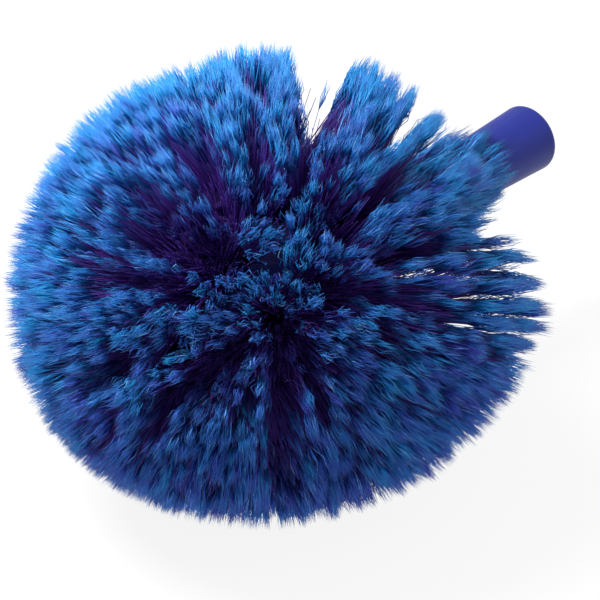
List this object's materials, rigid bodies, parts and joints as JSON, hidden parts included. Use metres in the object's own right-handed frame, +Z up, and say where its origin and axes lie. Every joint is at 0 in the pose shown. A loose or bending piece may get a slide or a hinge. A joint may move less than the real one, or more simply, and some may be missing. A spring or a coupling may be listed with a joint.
{
  "type": "cobweb brush head",
  "caption": "Round ball-shaped cobweb brush head: long flagged bristles all round a moulded block, with a neck and a threaded pole socket.",
  "frame": {"origin": "on the floor, under the middle of the whole brush as it lies on its bristles", "axes": "+X along the brush's axis towards the mouth of the pole socket, +Z up"},
  "size_m": [0.2956, 0.2257, 0.197],
  "materials": {
    "moulded_plastic": "satin",
    "bristle": "matte",
    "anchor_wire": "satin"
  },
  "bodies": {
    "root": {"head_block": "moulded_plastic", "bristle_row_1": "bristle", "bristle_row_2": "bristle", "bristle_row_3": "bristle", "bristle_row_4": "bristle", "bristle_row_5": "bristle", "bristle_row_6": "bristle", "bristle_row_7": "bristle", "bristle_row_8": "bristle", "bristle_row_9": "bristle", "anchor_row_1": "anchor_wire", "anchor_row_2": "anchor_wire", "anchor_row_3": "anchor_wire", "anchor_row_4": "anchor_wire", "anchor_row_5": "anchor_wire", "anchor_row_6": "anchor_wire", "anchor_row_7": "anchor_wire", "anchor_row_8": "anchor_wire", "anchor_row_9": "anchor_wire"}
  },
  "joints": []
}
